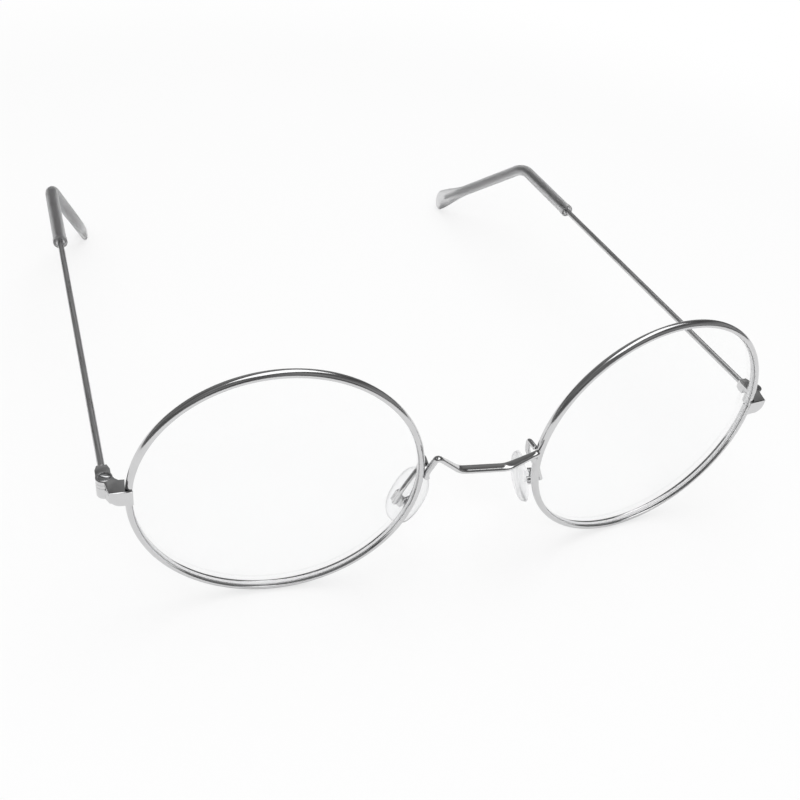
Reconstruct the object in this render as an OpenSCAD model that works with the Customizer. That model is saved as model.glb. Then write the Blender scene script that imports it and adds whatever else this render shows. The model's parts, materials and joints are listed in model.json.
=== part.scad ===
// Round wire costume glasses, standing on the eyewires and the temple tips.
// Lengths are in millimetres. X runs from the wearer's right to the left, Y runs from the
// front of the glasses to the ears, and Z is up. Sides are named as the wearer has them.

/* [Eyewires] */
// Diameter of an eyewire, from wire centre to wire centre
eyewire_d = 52; // [46:0.5:56]
// Distance between the centres of the two eyewires
eyewire_spacing = 75.5; // [74:0.5:84]
// Width of the eyewire from front to back
eyewire_w = 1.8; // [1.6:0.1:2.2]
// Thickness of the eyewire, measured across its ring
eyewire_t = 1.15; // [0.9:0.05:1.3]
// Height of the eyewire's flat flanks, inside its crowned outer side
flank_h = 0.3; // [0.1:0.05:0.5]
// Width of the groove that holds the lens
groove_w = 0.8; // [0.5:0.05:1.1]
// Depth of the groove that holds the lens
groove_depth = 0.45; // [0.3:0.05:0.6]
// Gap between the two cut ends of an eyewire
eyewire_gap = 0.3; // [0.1:0.05:0.6]
// Angle by which each eyewire turns back at its outer edge
face_wrap = 5.8; // [0:0.2:9]

/* [Lenses] */
// Thickness of a lens inside its bevel
lens_t = 1.3; // [1:0.1:2]
// Clearance between the lens edge and its groove
lens_play = 0.04; // [0.02:0.01:0.1]

/* [Bridge] */
// Length of the straight bar
bar_l = 10; // [6:0.2:12]
// Width of the bar from front to back
bar_w = 2; // [1.6:0.1:3]
// Thickness of the bridge strip
strip_t = 0.9; // [0.7:0.05:1.2]
// Width of the strip where it meets the eyewires
foot_w = 1.3; // [1:0.1:1.8]
// Height of the bar's middle above the eyewire centres
bar_z = 1; // [-1:0.1:3]
// Height of the shoulders above the bar
shoulder_rise = 4.2; // [3:0.1:6]
// Angle by which the bridge runs down from right to left
bridge_tilt = 7.5; // [0:0.5:9]
// How far the bar stands in front of the eyewire flanks
bar_forward = 1.5; // [1:0.1:3]

/* [Endpieces] */
// Height of an endpiece and of its front plate
endpiece_h = 3; // [2.6:0.1:4]
// Thickness of the front plate
plate_t = 0.4; // [0.3:0.05:1.2]
// Distance that the front plate reaches past the outside of its eyewire
plate_reach = 2.5; // [2.2:0.1:2.8]
// Height of the right endpiece above the middle of its eyewire
right_rise = 1.5; // [0:0.1:2.5]
// Height of the left endpiece above the middle of its eyewire
left_rise = 0.3; // [0:0.1:2.5]
// Gap between the upper and the lower closing block
block_gap = 0.1; // [0.05:0.01:0.3]
// Shank diameter of a closing screw
closing_screw_d = 0.8; // [0.6:0.05:0.85]
// Head diameter of a closing screw
closing_head_d = 1.1; // [1:0.05:1.15]

/* [Hinges] */
// Diameter of the hinge knuckles
knuckle_d = 2.9; // [2.5:0.1:3.4]
// Height of the top knuckle
top_knuckle_h = 0.75; // [0.7:0.05:0.9]
// Height of the space between the top and the bottom knuckle
mid_knuckle_h = 0.85; // [0.8:0.05:1.1]
// Height of the bottom knuckle
low_knuckle_h = 2.2; // [1.5:0.1:2.6]
// Gap between neighbouring knuckles
knuckle_gap = 0.08; // [0.05:0.01:0.15]
// Shank diameter of a hinge screw
hinge_screw_d = 1.2; // [1:0.05:1.5]
// Head diameter of a hinge screw
hinge_head_d = 2.1; // [1.8:0.05:2.3]
// Radial clearance of the middle knuckle on its screw
hinge_play = 0.03; // [0.01:0.01:0.08]
// Distance from the outside of an eyewire to its hinge axis
hinge_out = 3.2; // [3:0.1:4]
// Distance from the eyewire's middle plane back to the hinge axis
hinge_back = 3; // [2.8:0.1:4]

/* [Temples] */
// Length from the hinge axis to the corner of the ear bend
temple_l = 105; // [90:1:115]
// Length from the corner of the ear bend to the end of the tip
tip_l = 41; // [35:1:50]
// Diameter of the temple wire
temple_wire_d = 1.3; // [1.1:0.05:1.5]
// Angle of the right temple's ear bend
right_ear_bend = 47; // [35:1:60]
// Angle of the left temple's ear bend
left_ear_bend = 42; // [35:1:60]
// Radius of the ear bend at the wire's centre
ear_bend_r = 9; // [6:0.5:15]
// Angle by which the right ear bend leans in towards the head
right_tip_lean = 16.5; // [0:0.5:24]
// Angle by which the left ear bend leans in towards the head
left_tip_lean = 20; // [0:0.5:24]
// Angle by which the right temple runs down from its hinge
right_drop = 0.4; // [0:0.1:2]
// Angle by which the left temple runs down from its hinge
left_drop = 0.8; // [0:0.1:2]
// Angle by which the right temple leans in at rest
right_splay = 0.3; // [0:0.1:6]
// Angle by which the left temple leans in at rest
left_splay = 3.4; // [0:0.1:6]
// Width of the hinge leaf at the front of a temple
leaf_w = 2.6; // [2.2:0.1:2.8]
// Length of the hinge leaf behind its knuckle
leaf_l = 2.3; // [1.8:0.1:4]
// Height of the hinge leaf
leaf_h = 1.85; // [1.7:0.05:2.4]

/* [Temple tips] */
// Length of the plastic tip in front of the ear bend's corner
tip_lead = 25; // [15:1:35]
// Diameter of the plastic tip along its slim part
tip_d = 2.9; // [2.5:0.1:3.3]
// Width of the paddle at the end of the tip
paddle_w = 6; // [4:0.1:7]
// Thickness of the paddle at the end of the tip
paddle_t = 2.4; // [2:0.1:3]
// Length over which the tip widens into its paddle
paddle_l = 13; // [10:1:18]
// Length of plastic behind the end of the wire
core_setback = 4.5; // [3:0.5:10]
// Clearance between the wire and the plastic
tip_play = 0.03; // [0.02:0.01:0.06]

/* [Nose pads] */
// Height of a nose pad
pad_h = 13; // [11:0.5:15]
// Width of a nose pad
pad_w = 7; // [6:0.5:8]
// Thickness of a nose pad at its middle
pad_t = 2.2; // [1.8:0.1:2.8]
// Angle by which the pads flare out towards their lower ends
pad_flare = 22; // [10:1:30]
// Angle by which the pads face back towards the wearer
pad_splay = 28; // [15:1:35]
// Distance of a pad screw outwards from the nose side of its eyewire
pad_screw_out = 2.3; // [1.6:0.1:3]
// Distance from the eyewire centres down to the pad screws
pad_screw_down = 8; // [7:0.1:10]
// Distance of the pad screws behind the middle plane of the front
pad_screw_back = 0.4; // [0.2:0.1:1.5]
// Diameter of a pad arm's wire
arm_d = 1; // [0.7:0.05:1.1]
// Height of a pad arm's start above the eyewire centres
arm_up = 2.5; // [1.5:0.1:3.5]
// Distance that a pad arm runs back behind its eyewire
arm_back = 1.8; // [1.2:0.1:3]
// Shank diameter of a pad screw
pad_screw_d = 0.8; // [0.6:0.05:0.9]
// Radial clearance of the pad's boss on its screw
pad_play = 0.04; // [0.02:0.01:0.08]
// Clearance between the pad's boss and the cheeks of its box
boss_play = 0.1; // [0.05:0.01:0.2]

/* [Hidden] */
right = -1;
left = 1;

// Eyewire ring and its groove
ring_r = eyewire_d / 2;
ring_out = ring_r + eyewire_t / 2;
ring_in = ring_r - eyewire_t / 2;
half_spacing = eyewire_spacing / 2;
groove_floor = ring_in + groove_depth;
crown_steps = 8;

// A cutter runs right through, or this far past the face that it opens
through = 12;
past = 1;

// Endpiece levels, with the upper face of the endpiece level with the top knuckle
function rise(side) = side == left ? left_rise : right_rise;
endpiece_top = endpiece_h / 2;
knuckle_r = knuckle_d / 2;
top_joint = endpiece_top - top_knuckle_h;
low_joint = top_joint - mid_knuckle_h;
barrel_foot = low_joint - low_knuckle_h;

// Endpiece outline, in the eyewire's own plane and measured from its centre
plate_overhang = 0.3;
plate_in = ring_in - plate_overhang;
plate_out = ring_out + plate_reach;
hinge_u = ring_out + hinge_out;
hinge_v = hinge_back;
leaf_clearance = 0.2;
neck_back = hinge_v - leaf_w / 2 - leaf_clearance;
barrel_in = hinge_u - knuckle_r;
roof_back = 2.05;
roof_corner = 0.9;
leg_t = 1.2;
leg_front = neck_back - leg_t;
web_reach = 1;
web_in = hinge_u - web_reach;
plate_corner_r = 1.9;
block_reach = 1.5;
block_out = ring_out + block_reach;
block_front_play = 0.1;
leg_play = 0.05;
leg_in = block_out + leg_play;
block_overhang = 0.65;
block_back = eyewire_w / 2 + block_overhang;
closing_u = (ring_out + block_out) / 2;
closing_v = 0.35;
closing_head_t = 0.4;
closing_roof = 0.4;
closing_tip = endpiece_top - closing_roof;
closing_tip_play = 0.1;
thread_play = 0.02;

// Hinge screw
hinge_head_t = 0.3;
head_sink = 0.12;
head_play = 0.05;
slot_w = 0.35;
slot_turn = 30;
slot_depth = 0.2;

// Temple, in a frame at its hinge axis with +Y running back
leaf_play = 0.15;
leaf_front = knuckle_r + leaf_play;
leaf_end = leaf_front + leaf_l;
leaf_wall = 0.25;
leaf_tail_w = temple_wire_d + 2 * leaf_wall;
leaf_top = top_joint - knuckle_gap / 2;
leaf_foot = leaf_top - leaf_h;
middle_foot = low_joint + knuckle_gap / 2;
socket_depth = 1.5;
socket_roof = 0.15;
wire_r = temple_wire_d / 2;
wire_z = leaf_top - socket_roof - wire_r;
wire_start = leaf_end - socket_depth;
corner_y = temple_l - wire_start;
function splay(side) = side == left ? left_splay : right_splay;
function drop(side) = side == left ? left_drop : right_drop;
function tip_lean(side) = side == left ? left_tip_lean : right_tip_lean;
function ear_bend(side) = side == left ? left_ear_bend : right_ear_bend;
function bend_lead(side) = ear_bend_r * tan(ear_bend(side) / 2);
function bend_len(side) = ear_bend_r * ear_bend(side) * PI / 180;

// Temple tip sections
tip_sides = 16;
collar_l = 1.2;
collar_rise = 0.12;
cap_l = 1.8;
bend_steps = 8;
lead_steps = 6;
paddle_steps = 12;
cap_steps = 5;

// Bridge and pad arm sections
strip_sides = 12;
strip_square = 0.6;
arm_sides = 12;
arm_corner = 0.9;
arm_slope = [0.4, 0.1, -3];
arm_over_box = 1.5;
box_foot = 0.2;
corner_steps = 5;
braze = 0.08;

// Pad box, screw and boss, in a frame at the pad screw with -X facing the nose
boss_r = 0.8;
boss_w = 1.6;
cheek_t = 0.35;
box_in_w = boss_w + 2 * boss_play;
box_out_w = box_in_w + 2 * cheek_t;
box_h = 2.2;
box_base = 0.95;
box_base_t = 0.4;
box_lip = 0.6;
pad_base = 1.3;
pad_edge_t = 1;
pad_head_d = 1.2;
pad_head_t = 0.3;

// Turns of a vector about an axis
function turn_x(a, p) = [p.x, p.y * cos(a) - p.z * sin(a), p.y * sin(a) + p.z * cos(a)];
function turn_y(a, p) = [p.x * cos(a) + p.z * sin(a), p.y, p.z * cos(a) - p.x * sin(a)];
function turn_z(a, p) = [p.x * cos(a) - p.y * sin(a), p.x * sin(a) + p.y * cos(a), p.z];
function unit(p) = p / norm(p);

// A point of the left eyewire's plane, placed in the front
function from_ring(u, v, z) = turn_z(face_wrap, [u, v, z]) + [half_spacing, 0, 0];

// A point at angle a above the nose side of the left eyewire
function nose_side(a, r, v) = from_ring(-r * cos(a), v, r * sin(a));

// Nose side of the left eyewire, at the height of its centre
flank = nose_side(0, ring_out, 0);

// A point of the left pad's frame, placed in the front
pad_at = [flank.x + pad_screw_out, pad_screw_back, -pad_screw_down];
function from_pad(p) = pad_at + turn_y(-pad_flare, turn_z(-pad_splay, p));

// Hinge axis of the left temple
hinge_at = from_ring(hinge_u, hinge_v, 0);

// The point at most reach away from p towards q, and at most halfway there
function towards(p, q, reach) = p + unit(q - p) * min(reach, norm(q - p) * 0.45);

// A polyline whose corners are rounded, starting reach before each corner
function rounded(pts, reach) = [
  pts[0],
  for (i = [1:len(pts) - 2])
    let (a = towards(pts[i], pts[i - 1], reach), b = towards(pts[i], pts[i + 1], reach))
      for (k = [0:corner_steps])
        let (t = k / corner_steps) a * (1 - t) * (1 - t) + pts[i] * 2 * t * (1 - t) + b * t * t,
  pts[len(pts) - 1]
];

// Direction of a path at point i
function heading(path, i) = unit(path[min(i + 1, len(path) - 1)] - path[max(i - 1, 0)]);

// Round and squared curves for a section
function bent(x, k) = sign(x) * pow(abs(x), k);

// One ring of a swept section: a is its half width along wide, b its half thickness across
function section(c, along, wide, a, b, k, sides) =
  let (w = unit(wide - along * (wide * along)), n = cross(along, w))
    [for (i = [0:sides - 1])
      let (turn = 360 * i / sides)
        c + w * a * bent(cos(turn), k) + n * b * bent(sin(turn), k)];

// Triangles between rings first..last of a list of rings with this many sides
function skin(first, last, sides, inward = false) = [
  for (j = [first:last - 1], i = [0:sides - 1])
    let (a = j * sides + i, b = j * sides + (i + 1) % sides, c = a + sides, d = b + sides)
      each inward ? [[a, b, d], [a, d, c]] : [[a, d, b], [a, c, d]]
];
function flat(lists) = [for (l = lists) each l];

// A solid through a list of rings
module swept(rings) {
  sides = len(rings[0]);
  last = len(rings) - 1;
  polyhedron(
    flat(rings),
    concat(
      skin(0, last, sides),
      [[for (i = [0:sides - 1]) i]],
      [[for (i = [sides - 1:-1:0]) last * sides + i]]
    )
  );
}

// Centre line of a temple in the plane of its bend, at s from the start of the bend
function bend_angle_at(side, s) = min(max(s / bend_len(side), 0), 1) * ear_bend(side);
function centre_at(side, s) =
  let (a = bend_angle_at(side, s), straight = min(s, 0) + max(s - bend_len(side), 0))
    [0, corner_y - bend_lead(side) + ear_bend_r * sin(a) + straight * cos(a),
      ear_bend_r * (cos(a) - 1) - straight * sin(a)];

// Where the plastic starts, where its cap starts and where the wire in it ends
function tip_start_s(side) = bend_lead(side) - tip_lead;
function tip_stop_s(side) = bend_len(side) + tip_l - bend_lead(side) - cap_l;
function core_stop_s(side) = tip_stop_s(side) + cap_l - core_setback;

// Sections of the wire and of the plastic tip at s
function eased(t) = let (x = min(max(t, 0), 1)) x * x * (3 - 2 * x);
function temple_ring(side, s, a, b) =
  let (t = bend_angle_at(side, s))
    section(centre_at(side, s), [0, cos(t), -sin(t)], [0, sin(t), cos(t)], a, b, 1, tip_sides);
function round_ring(side, s, r) = temple_ring(side, s, r, r);
function tip_ring(side, s) =
  let (share = eased(1 - (tip_stop_s(side) - s) / paddle_l))
    temple_ring(side, s, (tip_d + (paddle_w - tip_d) * share) / 2, (tip_d + (paddle_t - tip_d) * share) / 2);

function tip_outside(side) =
  let (
    start = tip_start_s(side),
    stop = tip_stop_s(side),
    bend = bend_len(side),
    slim = tip_d / 2,
    first = start + collar_l
  )
    concat(
      [
        round_ring(side, start, slim),
        round_ring(side, start + collar_rise, slim + collar_rise),
        round_ring(side, first, slim + collar_rise),
        round_ring(side, first + collar_rise, slim)
      ],
      [for (k = [1:lead_steps]) tip_ring(side, first * (1 - k / lead_steps))],
      [for (k = [1:bend_steps]) tip_ring(side, bend * k / bend_steps)],
      [for (k = [1:paddle_steps]) tip_ring(side, bend + (stop - bend) * k / paddle_steps)],
      [for (k = [1:cap_steps - 1]) let (a = 90 * k / cap_steps)
        temple_ring(side, stop + cap_l * sin(a), paddle_w / 2 * cos(a), paddle_t / 2 * cos(a))]
    );
bore_r = wire_r + tip_play;
function tip_inside(side) = concat(
  [for (k = [0:1]) round_ring(side, tip_start_s(side) * (1 - k), bore_r)],
  [for (k = [1:bend_steps]) round_ring(side, bend_len(side) * k / bend_steps, bore_r)],
  [round_ring(side, core_stop_s(side) + tip_play, bore_r)]
);
function wire_rings(side) = concat(
  [round_ring(side, bend_lead(side) - corner_y + thread_play, wire_r)],
  [for (k = [0:bend_steps]) round_ring(side, bend_len(side) * k / bend_steps, wire_r)],
  [round_ring(side, core_stop_s(side), wire_r)]
);

// From the frame of a temple's bend to the front, both sides drawn as the left one
function turn_bend(side, p) = turn_z(splay(side), turn_x(-drop(side), turn_y(tip_lean(side), p)));
function from_bend(side, p) =
  hinge_at + [0, 0, rise(side)] + turn_z(splay(side), [0, wire_start, wire_z]) + turn_bend(side, p);

// Bridge path and sections, from the right eyewire to the left
foot_at = [flank.x - strip_t / 2 + braze, flank.y - foot_w / 4, 0];
foot_l = 1.2;
bar_at = [bar_l / 2, flank.y - bar_forward, bar_z];
shoulder_in = 0.9;
shoulder_forward = 0.9;
shoulder_at = [flank.x - shoulder_in, bar_at.y - shoulder_forward, bar_z + shoulder_rise];
bridge_corner = 1.4;
function mirrored(p) = [-p.x, p.y, p.z];
function tilted(side, p) = p - [0, 0, side * p.x * tan(bridge_tilt)];
function half_bridge(side) = [
  tilted(side, bar_at), tilted(side, shoulder_at), foot_at + [0, 0, foot_l], foot_at
];
bridge_path = rounded(
  concat([for (i = [3:-1:0]) mirrored(half_bridge(right)[i])], half_bridge(left)),
  bridge_corner
);
function strip_half_w(p) =
  let (share = eased((shoulder_at.x - abs(p.x)) / (shoulder_at.x - bar_at.x)))
    (foot_w + (bar_w - foot_w) * share) / 2;
bridge_rings = [for (i = [0:len(bridge_path) - 1])
  let (p = bridge_path[i], along = heading(bridge_path, i))
    section(p, along, [0, 1, 0], strip_half_w(p), strip_t / 2, strip_square, strip_sides)];

// Pad arm path, from the eyewire's nose side back and down to the back of the pad box
arm_angle = asin(arm_up / ring_r);
arm_braze = 0.14;
arm_start_back = 0.25;
arm_r = ring_out + arm_d / 2 - arm_braze;
base_back = box_base + box_base_t + arm_d / 2 - braze;
arm_bend = nose_side(arm_angle, arm_r, eyewire_w / 2 + arm_back);
arm_path = rounded([
  nose_side(arm_angle, arm_r, arm_start_back),
  arm_bend,
  arm_bend + arm_slope,
  from_pad([base_back, 0, box_h / 2 + arm_over_box]),
  from_pad([base_back, 0, box_foot - box_h / 2])
], arm_corner);
arm_rings = [for (i = [0:len(arm_path) - 1])
  section(arm_path[i], heading(arm_path, i), [1, -0.3, 0], arm_d / 2, arm_d / 2, 1, arm_sides)];

// The glasses stand on the lowest points of the eyewires and of the lower tip
ring_touch = [half_spacing, 0, -ring_out];
function lowest(centre, half_axes) =
  let (heights = [for (h = half_axes) h.z])
    centre - [for (i = [0:2]) [for (h = half_axes) h[i]] * heights] / norm(heights);
function tip_touch(side) =
  let (bend = ear_bend(side))
    lowest(from_bend(side, centre_at(side, tip_stop_s(side))), [
      turn_bend(side, [0, sin(bend), cos(bend)]) * paddle_w / 2,
      turn_bend(side, [1, 0, 0]) * paddle_t / 2,
      turn_bend(side, [0, cos(bend), -sin(bend)]) * cap_l
    ]);
function lean_for(side) = let (p = tip_touch(side)) atan2(ring_touch.z - p.z, p.y - ring_touch.y);
front_lean = max(lean_for(left), lean_for(right));
function on_ground(p) = turn_x(front_lean, p);
ground_z = on_ground(ring_touch).z;
front_y = min([for (p = flat(bridge_rings)) on_ground(p).y]);
back_y = max([for (side = [left, right], p = flat(tip_outside(side))) on_ground(from_bend(side, p)).y]);
middle_y = (front_y + back_y) / 2;

$fn = 48;
ring_fn = 180;

// Moves the front's frame so that the glasses stand on the ground, centred on the origin
module standing() {
  translate([0, -middle_y, -ground_z]) rotate([front_lean, 0, 0]) children();
}

// Draws the left side's shape on the named side
module on_side(side) {
  standing() {
    if (side == left) children();
    else mirror([1, 0, 0]) children();
  }
}

// Moves a shape drawn in an eyewire's own plane into the front
module in_ring() {
  translate([half_spacing, 0, 0]) rotate([0, 0, face_wrap]) children();
}

// Moves a shape drawn at the height of an endpiece into the front
module in_endpiece(side) {
  on_side(side) in_ring() translate([0, 0, rise(side)]) children();
}

// Moves a shape drawn in a temple's frame, with +Y running back, onto its hinge axis
module in_temple(side) {
  on_side(side) translate(hinge_at + [0, 0, rise(side)]) rotate([0, 0, splay(side)]) children();
}

// Moves a shape drawn along the temple wire into the temple's frame
module in_wire(side) {
  translate([0, wire_start, wire_z]) rotate([-drop(side), 0, 0]) children();
}

// Moves a shape drawn in the plane of the ear bend into the wire's frame
module in_bend(side) {
  rotate([0, tip_lean(side), 0]) children();
}

// Moves a shape drawn at the pad screw, with -X facing the nose, into the front
module in_pad(side) {
  on_side(side) translate(pad_at) rotate([0, -pad_flare, 0]) rotate([0, 0, -pad_splay]) children();
}

// A grooved ring with a crowned outer side, cut through where the closing blocks hold it
module eyewire(side) {
  crown_h = eyewire_t - flank_h;
  crown = [for (k = [0:crown_steps])
    let (a = 180 * k / crown_steps) [ring_in + flank_h + crown_h * sin(a), -eyewire_w / 2 * cos(a)]];
  inside = [
    [ring_in, eyewire_w / 2], [ring_in, groove_w / 2], [groove_floor, groove_w / 6],
    [groove_floor, -groove_w / 6], [ring_in, -groove_w / 2], [ring_in, -eyewire_w / 2]
  ];
  color("silver") on_side(side) in_ring() difference() {
    rotate([90, 0, 0]) rotate_extrude($fn = ring_fn) polygon(concat(crown, inside));
    translate([ring_r, 0, rise(side)]) cube([3 * eyewire_t, 2 * eyewire_w, eyewire_gap], center = true);
  }
}

// A flat disc with a bevelled edge that sits in the groove
module lens(side) {
  bevel = groove_w / 2 - lens_play;
  edge = groove_w / 6 - lens_play / 2;
  edge_r = groove_floor - lens_play;
  face_r = ring_in - 2 * lens_play;
  color([0.9, 0.95, 1, 0.3]) on_side(side) in_ring() rotate([90, 0, 0]) rotate_extrude($fn = ring_fn)
    polygon([
      [0, -lens_t / 2], [face_r, -lens_t / 2], [face_r, -bevel], [edge_r, -edge],
      [edge_r, edge], [face_r, bevel], [face_r, lens_t / 2], [0, lens_t / 2]
    ]);
}

// A bent strip with a flat bar, two shoulders and two feet
module bridge() {
  color("silver") standing() swept(bridge_rings);
}

// A straight prism between two levels over an outline in the eyewire's plane
module prism(low, high, outline) {
  translate([0, 0, low]) linear_extrude(high - low) polygon(outline);
}

// The round space inside an endpiece that its eyewire fills
module ring_space(side) {
  translate([0, 0, -rise(side)]) rotate([90, 0, 0])
    cylinder(r = ring_out, h = through, center = true, $fn = ring_fn);
}

// Outline of the front plate, with its lower outer corner rounded
module plate_outline() {
  corner_u = plate_out - plate_corner_r;
  corner_z = plate_corner_r - endpiece_top;
  intersection() {
    union() {
      translate([plate_in, -endpiece_top]) square([corner_u - plate_in, endpiece_h]);
      translate([plate_in, corner_z]) square([plate_out - plate_in, endpiece_top - corner_z]);
      translate([corner_u, corner_z]) circle(r = plate_corner_r);
    }
    translate([plate_in, -endpiece_top]) square([plate_out - plate_in, endpiece_h]);
  }
}

// Upper closing block and the neck that runs from it to the top knuckle, under a wider roof
module neck(side) {
  front = -eyewire_w / 2 - plate_t / 2;
  difference() {
    union() {
      prism(block_gap / 2, endpiece_top, [
        [ring_in, front], [plate_out, front], [plate_out, neck_back], [ring_in, neck_back]
      ]);
      prism(top_joint, endpiece_top, [
        [ring_in, front], [plate_out, front], [hinge_u, hinge_v - knuckle_r], [hinge_u, hinge_v],
        [barrel_in, hinge_v], [barrel_in - roof_corner / 3, (hinge_v + roof_back) / 2],
        [barrel_in - roof_corner, roof_back], [ring_in, roof_back]
      ]);
    }
    ring_space(side);
  }
}

// Front plate, upper closing block, and the top and bottom knuckles
module endpiece(side) {
  color("silver") in_endpiece(side) difference() {
    union() {
      translate([0, -eyewire_w / 2, 0]) rotate([90, 0, 0]) linear_extrude(plate_t) plate_outline();
      neck(side);
      prism(low_joint, top_joint, [
        [leg_in, leg_front], [plate_out, leg_front], [plate_out, neck_back], [leg_in, neck_back]
      ]);
      prism(barrel_foot, low_joint, [
        [leg_in, leg_front], [plate_out, leg_front], [hinge_u, hinge_v - knuckle_r], [hinge_u, hinge_v],
        [web_in, neck_back], [leg_in, neck_back]
      ]);
      translate([hinge_u, hinge_v, barrel_foot]) cylinder(d = knuckle_d, h = endpiece_top - barrel_foot);
    }
    translate([hinge_u, hinge_v, low_joint]) cylinder(r = leaf_front, h = mid_knuckle_h);
    translate([hinge_u, hinge_v, barrel_foot - past])
      cylinder(d = hinge_screw_d + 2 * thread_play, h = through);
    translate([hinge_u, hinge_v, endpiece_top - hinge_head_t - head_sink])
      cylinder(d = hinge_head_d + 2 * head_play, h = hinge_head_t + head_sink + past);
    translate([closing_u, closing_v, -endpiece_top])
      cylinder(d = closing_screw_d + 2 * thread_play, h = endpiece_top + closing_tip + closing_tip_play);
  }
}

// Block on the lower end of the eyewire, bored for the closing screw
module closing_block(side) {
  color("silver") in_endpiece(side) difference() {
    prism(-endpiece_top, -block_gap / 2, [
      [ring_in, -eyewire_w / 2 + block_front_play], [block_out, -eyewire_w / 2 + block_front_play],
      [block_out, block_back], [ring_in, block_back]
    ]);
    ring_space(side);
    translate([closing_u, closing_v, -endpiece_top - past])
      cylinder(d = closing_screw_d + 2 * thread_play, h = through);
    translate([closing_u, closing_v, -endpiece_top - past])
      cylinder(d = closing_head_d + 2 * head_play, h = past + closing_head_t);
  }
}

// A slotted cheese-head screw that points down from its head at z = 0
module slotted_screw(shank_d, head_d, head_t, length) {
  difference() {
    union() {
      translate([0, 0, -head_t]) cylinder(d = head_d, h = head_t);
      translate([0, 0, -length]) cylinder(d = shank_d, h = length);
    }
    translate([-head_d, -slot_w / 2, -slot_depth]) cube([2 * head_d, slot_w, slot_depth + past]);
  }
}

// Screw from below that pulls the two closing blocks together
module closing_screw(side) {
  length = endpiece_top + closing_tip - thread_play;
  color("gainsboro") in_endpiece(side)
    translate([closing_u, closing_v, -endpiece_top + thread_play]) rotate([180, 0, 0])
      slotted_screw(closing_screw_d, closing_head_d, closing_head_t - thread_play, length);
}

// Screw that is the hinge's axle
module hinge_screw(side) {
  length = endpiece_top - head_sink - barrel_foot;
  color("gainsboro") in_endpiece(side) translate([hinge_u, hinge_v, endpiece_top - head_sink])
    rotate([0, 0, slot_turn]) slotted_screw(hinge_screw_d, hinge_head_d, hinge_head_t, length);
}

// Middle knuckle and the block that holds the temple wire
module temple_leaf(side) {
  color("silver") in_temple(side) difference() {
    union() {
      translate([0, 0, middle_foot]) cylinder(d = knuckle_d, h = leaf_top - middle_foot);
      prism(middle_foot, leaf_top, [
        [-leaf_w / 2, 0], [leaf_w / 2, 0], [leaf_w / 2, leaf_front], [-leaf_w / 2, leaf_front]
      ]);
      prism(leaf_foot, leaf_top, [
        [-leaf_w / 2, leaf_front], [leaf_w / 2, leaf_front], [leaf_w / 2, leaf_front + leaf_l / 2],
        [leaf_tail_w / 2, leaf_end], [-leaf_tail_w / 2, leaf_end], [-leaf_w / 2, leaf_front + leaf_l / 2]
      ]);
    }
    translate([0, 0, middle_foot - past])
      cylinder(d = hinge_screw_d + 2 * hinge_play, h = mid_knuckle_h + 2 * past);
    in_wire(side) rotate([-90, 0, 0]) cylinder(d = temple_wire_d + 2 * thread_play, h = socket_depth + past);
  }
}

// Straight wire, ear bend, and the core inside the plastic tip
module temple_wire(side) {
  color("silver") in_temple(side) in_wire(side) in_bend(side) swept(wire_rings(side));
}

// Hollow plastic sleeve that widens into a paddle behind the ear
module temple_tip(side) {
  outside = tip_outside(side);
  inside = tip_inside(side);
  outer = len(outside);
  inner = len(inside);
  sides = tip_sides;
  nose = (outer + inner) * sides;
  color([0.85, 0.85, 0.87, 0.6]) in_temple(side) in_wire(side) in_bend(side) polyhedron(
    concat(flat(outside), flat(inside), [centre_at(side, tip_stop_s(side) + cap_l)]),
    concat(
      skin(0, outer - 1, sides),
      skin(outer, outer + inner - 1, sides, true),
      [for (i = [0:sides - 1]) [(outer - 1) * sides + i, nose, (outer - 1) * sides + (i + 1) % sides]],
      [[for (i = [0:sides - 1]) (outer + inner - 1) * sides + i]],
      [for (i = [0:sides - 1]) let (j = (i + 1) % sides) each [
        [i, j, outer * sides + j], [i, outer * sides + j, outer * sides + i]]]
    )
  );
}

// Bent wire that carries the pad box
module pad_arm(side) {
  color("silver") on_side(side) swept(arm_rings);
}

// Small open box with two cheeks that hold the pad screw
module pad_box(side) {
  color("silver") in_pad(side) difference() {
    translate([-box_lip, -box_out_w / 2, -box_h / 2])
      cube([box_base + box_base_t + box_lip, box_out_w, box_h]);
    translate([-box_lip - past, -box_in_w / 2, -box_h])
      cube([box_base + box_lip + past, box_in_w, 2 * box_h]);
    rotate([90, 0, 0]) cylinder(d = pad_screw_d + 2 * thread_play, h = through, center = true);
  }
}

// Screw through the cheeks and the pad's boss
module pad_screw(side) {
  color("gainsboro") in_pad(side) translate([0, -box_out_w / 2 - pad_head_t, 0]) rotate([90, 0, 0])
    slotted_screw(pad_screw_d, pad_head_d, pad_head_t, pad_head_t + box_out_w);
}

// Soft oval pad with a domed face and a boss at its back
module nose_pad(side) {
  dome_r = (pad_h * pad_h / 4 + pow(pad_t - pad_edge_t, 2)) / (2 * (pad_t - pad_edge_t));
  end_r = pad_w / 2;
  root = pad_base + pad_edge_t / 2;
  color([0.9, 0.9, 0.92, 0.6]) in_pad(side) difference() {
    union() {
      intersection() {
        translate([-pad_base, 0, 0]) rotate([0, -90, 0]) linear_extrude(pad_t) {
          translate([(pad_h - pad_w) / 2, 0]) circle(r = end_r);
          translate([(pad_w - pad_h) / 2, 0]) circle(r = end_r);
          square([pad_h - pad_w, pad_w], center = true);
        }
        translate([-pad_base - pad_t + dome_r, 0, 0]) sphere(r = dome_r, $fn = ring_fn);
      }
      rotate([90, 0, 0]) cylinder(r = boss_r, h = boss_w, center = true);
      translate([-root, -boss_w / 2, -boss_r]) cube([root, boss_w, 2 * boss_r]);
    }
    rotate([90, 0, 0]) cylinder(d = pad_screw_d + 2 * pad_play, h = through, center = true);
  }
}

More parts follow.
